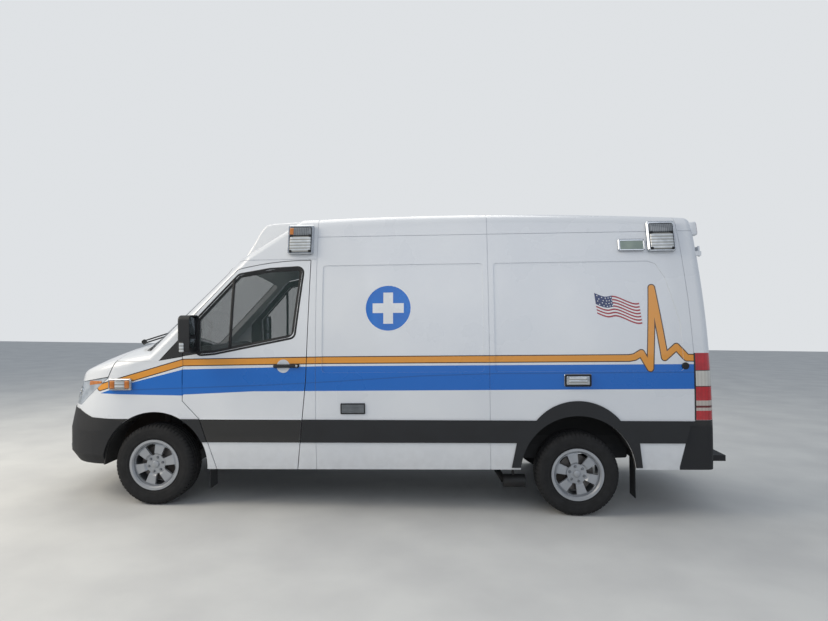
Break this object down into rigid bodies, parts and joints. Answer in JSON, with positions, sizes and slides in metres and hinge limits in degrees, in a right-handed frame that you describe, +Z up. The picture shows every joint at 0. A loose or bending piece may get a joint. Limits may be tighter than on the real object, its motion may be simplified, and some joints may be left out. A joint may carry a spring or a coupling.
{
  "type": "high-roof van ambulance",
  "caption": "Van-based ambulance with a raised roof, opening cab doors, rear doors and hood, steered front wheels and a fitted load space.",
  "frame": {"origin": "on the ground, midway between the front bumper and the rear step and on the centre line", "axes": "+X towards the tail, +Y to the van's right side, +Z up"},
  "size_m": [6.0038, 2.426, 2.6571],
  "materials": {
    "white_paint": "gloss",
    "black_plastic": "matte",
    "grey_plastic": "matte",
    "chassis_black": "satin",
    "lamp_glass": "gloss",
    "red_lens": "gloss",
    "glass": "gloss",
    "alloy": "satin",
    "tyre": "matte",
    "trim_grey": "matte",
    "seat_cloth": "matte",
    "locker_white": "satin",
    "cast_iron": "matte"
  },
  "bodies": {
    "body": {"chassis_frame": "chassis_black", "floor": "trim_grey", "left_side_panel": "white_paint", "right_side_panel": "white_paint", "sliding_door": "white_paint", "roof": "white_paint", "cab_roof": "white_paint", "cab_frame": "white_paint", "rear_frame": "white_paint", "front_fenders": "white_paint", "body_glass": "glass", "front_bumper": "grey_plastic", "grille": "black_plastic", "headlamps": "lamp_glass", "tail_lamps": "red_lens", "rear_bumper": "grey_plastic", "side_mouldings": "black_plastic", "warning_lamps": "lamp_glass", "side_lamps": "lamp_glass", "dashboard": "trim_grey", "seats": "seat_cloth", "partition": "trim_grey", "cabinets": "locker_white", "engine_block": "cast_iron", "front_axle": "chassis_black", "rear_axle": "chassis_black"},
    "hood": {"hood": "white_paint"},
    "cab_door_left": {"cab_door_left": "white_paint", "cab_glass_left": "glass", "mirror_left": "black_plastic"},
    "cab_door_right": {"cab_door_right": "white_paint", "cab_glass_right": "glass", "mirror_right": "black_plastic"},
    "rear_door_left": {"rear_door_left": "white_paint", "rear_glass_left": "glass"},
    "rear_door_right": {"rear_door_right": "white_paint", "rear_glass_right": "glass"},
    "knuckle_left": {"knuckle_left": "chassis_black"},
    "knuckle_right": {"knuckle_right": "chassis_black"},
    "steering_wheel": {"steering_wheel": "trim_grey"},
    "wheel_front_left": {"tyre_front_left": "tyre", "rim_front_left": "alloy"},
    "wheel_front_right": {"tyre_front_right": "tyre", "rim_front_right": "alloy"},
    "wheel_rear_left": {"tyre_rear_left": "tyre", "rim_rear_left": "alloy"},
    "wheel_rear_right": {"tyre_rear_right": "tyre", "rim_rear_right": "alloy"}
  },
  "joints": [
    {"name": "hood_hinge", "type": "hinge", "parent": "body", "child": "hood", "pos_m": [-2.34958, 0, 1.37745], "axis": [0, 1, 0], "range_deg": [0, 55]},
    {"name": "cab_door_left_hinge", "type": "hinge", "parent": "body", "child": "cab_door_left", "pos_m": [-1.72424, -0.987, 1.10549], "axis": [0.0209, 0, -0.9998], "range_deg": [0, 70]},
    {"name": "cab_door_right_hinge", "type": "hinge", "parent": "body", "child": "cab_door_right", "pos_m": [-1.72424, 0.987, 1.10549], "axis": [-0.0209, 0, 0.9998], "range_deg": [0, 70]},
    {"name": "rear_door_left_hinge", "type": "hinge", "parent": "body", "child": "rear_door_left", "pos_m": [2.79036, -0.812, 1.62515], "axis": [-0.0736, 0, 0.9973], "range_deg": [-180, 0]},
    {"name": "rear_door_right_hinge", "type": "hinge", "parent": "body", "child": "rear_door_right", "pos_m": [2.79036, 0.812, 1.62515], "axis": [-0.0736, 0, 0.9973], "range_deg": [0, 180]},
    {"name": "steer_left", "type": "hinge", "parent": "body", "child": "knuckle_left", "pos_m": [-1.97194, -0.745, 0.2051], "axis": [-0.0208, 0.1307, 0.9912], "range_deg": [-35, 35]},
    {"name": "steer_right", "type": "hinge", "parent": "body", "child": "knuckle_right", "pos_m": [-1.97194, 0.745, 0.2051], "axis": [-0.0208, -0.1307, 0.9912], "range_deg": [-35, 35]},
    {"name": "steering_wheel_turn", "type": "hinge", "parent": "body", "child": "steering_wheel", "pos_m": [-1.38418, -0.43, 1.17762], "axis": [0.4818, 0, 0.8763], "range_deg": [-540, 540]},
    {"name": "spin_front_left", "type": "hinge", "parent": "knuckle_left", "child": "wheel_front_left", "pos_m": [-1.97465, -0.855, 0.351], "axis": [0, 1, 0], "continuous": true},
    {"name": "spin_front_right", "type": "hinge", "parent": "knuckle_right", "child": "wheel_front_right", "pos_m": [-1.97465, 0.855, 0.351], "axis": [0, 1, 0], "continuous": true},
    {"name": "spin_rear_left", "type": "hinge", "parent": "body", "child": "wheel_rear_left", "pos_m": [1.69035, -0.858, 0.351], "axis": [0, 1, 0], "continuous": true},
    {"name": "spin_rear_right", "type": "hinge", "parent": "body", "child": "wheel_rear_right", "pos_m": [1.69035, 0.858, 0.351], "axis": [0, 1, 0], "continuous": true}
  ],
  "couplings": [
    {"joint": "steer_right", "follows": "steer_left", "ratio": 1},
    {"joint": "steering_wheel_turn", "follows": "steer_left", "ratio": 15}
  ]
}
